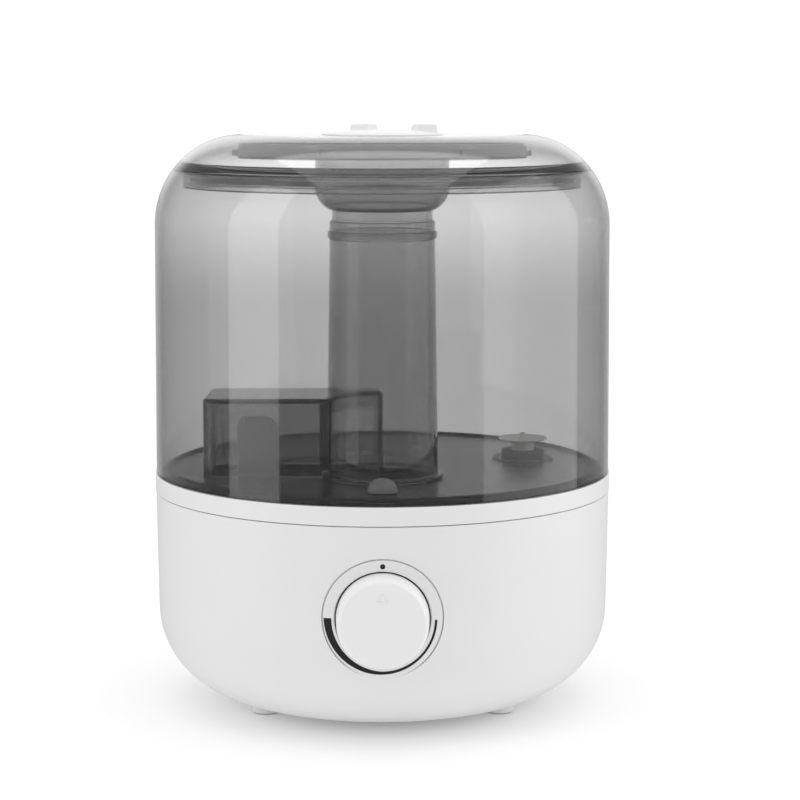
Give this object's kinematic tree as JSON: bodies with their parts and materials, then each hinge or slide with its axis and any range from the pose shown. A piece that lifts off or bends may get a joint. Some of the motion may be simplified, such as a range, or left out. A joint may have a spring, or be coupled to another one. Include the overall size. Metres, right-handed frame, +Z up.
{
  "type": "cool mist humidifier",
  "caption": "Round top-fill cool mist humidifier: white base with a rotary dial, smoked clear tank with a mist tube, clear lid with a turning two-spout nozzle.",
  "frame": {"origin": "centre of the bounding box at the floor, under the body between the feet", "axes": "+Z up, dial towards -Y, +X to the right seen from the front"},
  "size_m": [0.19, 0.1992, 0.2408],
  "materials": {
    "white_abs": "satin moulded, faint spark-eroded grain",
    "grey_white_abs": "plain moulded",
    "black_plastic": "plain moulded",
    "black_rubber": "smooth",
    "grey_rubber": "matt",
    "silicone": "translucent, smooth",
    "frosted_clear": "frosted",
    "smoked_clear": "clear smoked grey, polished",
    "clear_plastic": "clear, polished",
    "plated_steel": "plated",
    "aluminium": "mill finish",
    "silvered_brass": "plated disc",
    "copper_wire": "enamelled wire",
    "circuit_board": "solder mask"
  },
  "bodies": {
    "base": {"base_housing": "white_abs", "base_deck": "white_abs", "air_tower": "white_abs", "bottom_cover": "grey_white_abs", "cover_screw_1": "plated_steel", "cover_screw_2": "plated_steel", "cover_screw_3": "plated_steel", "cover_screw_4": "plated_steel", "foot_pad_1": "grey_rubber", "foot_pad_2": "grey_rubber", "foot_pad_3": "grey_rubber", "foot_pad_4": "grey_rubber", "dial_plate": "white_abs", "dial_pot": "black_plastic", "pot_nut": "plated_steel", "driver_board": "circuit_board", "heat_sink": "aluminium", "capacitor": "black_plastic", "choke_coil": "copper_wire", "board_plug": "grey_white_abs", "transducer_disc": "silvered_brass", "transducer_gasket": "grey_rubber", "transducer_clamp": "grey_white_abs", "fan_frame": "black_plastic", "fan_motor": "plated_steel", "fan_duct": "grey_white_abs", "level_switch": "black_plastic", "float_cap": "grey_white_abs", "indicator_light": "frosted_clear", "dc_jack": "black_plastic"},
    "knob": {"knob_cap": "white_abs", "knob_shaft": "plated_steel"},
    "fan": {"fan_impeller": "black_plastic"},
    "float": {"float_ring": "grey_white_abs", "float_magnet": "plated_steel"},
    "tank": {"tank_shell": "smoked_clear", "tank_floor": "smoked_clear", "air_box": "smoked_clear", "mist_tube": "smoked_clear", "tube_collar": "smoked_clear", "light_dome": "frosted_clear", "valve_seat": "black_rubber", "valve_guide": "grey_white_abs", "valve_spring": "plated_steel"},
    "valve": {"valve_umbrella": "silicone", "valve_plunger": "grey_white_abs"},
    "lid": {"lid_dome": "clear_plastic", "lid_top_plate": "white_abs", "lid_tray": "grey_white_abs", "mist_cup": "white_abs", "lid_seal": "silicone"},
    "nozzle": {"mist_nozzle": "white_abs"}
  },
  "joints": [
    {"name": "knob_turn", "type": "hinge", "parent": "base", "child": "knob", "pos_m": [0, -0.08964, 0.0533], "axis": [0, 1, 0], "range_deg": [0, 270]},
    {"name": "fan_spin", "type": "hinge", "parent": "base", "child": "fan", "pos_m": [-0.03, 0.00464, 0.015], "axis": [0, 0, 1], "continuous": true},
    {"name": "float_rise", "type": "slide", "parent": "base", "child": "float", "axis": [0, 0, 1], "range_m": [0, 0.005]},
    {"name": "tank_lift", "type": "slide", "parent": "base", "child": "tank", "axis": [0, 0, 1], "range_m": [0, 0.15]},
    {"name": "valve_close", "type": "slide", "parent": "tank", "child": "valve", "axis": [0, 0, -1], "range_m": [0, 0.003], "deforming": ["valve_spring"]},
    {"name": "lid_lift", "type": "slide", "parent": "tank", "child": "lid", "axis": [0, 0, 1], "range_m": [0, 0.08]},
    {"name": "nozzle_spin", "type": "hinge", "parent": "lid", "child": "nozzle", "pos_m": [0, -0.02636, 0.2362], "axis": [0, 0, 1], "continuous": true}
  ],
  "couplings": [
    {"joint": "valve_close", "follows": "tank_lift", "ratio": 0.02}
  ]
}
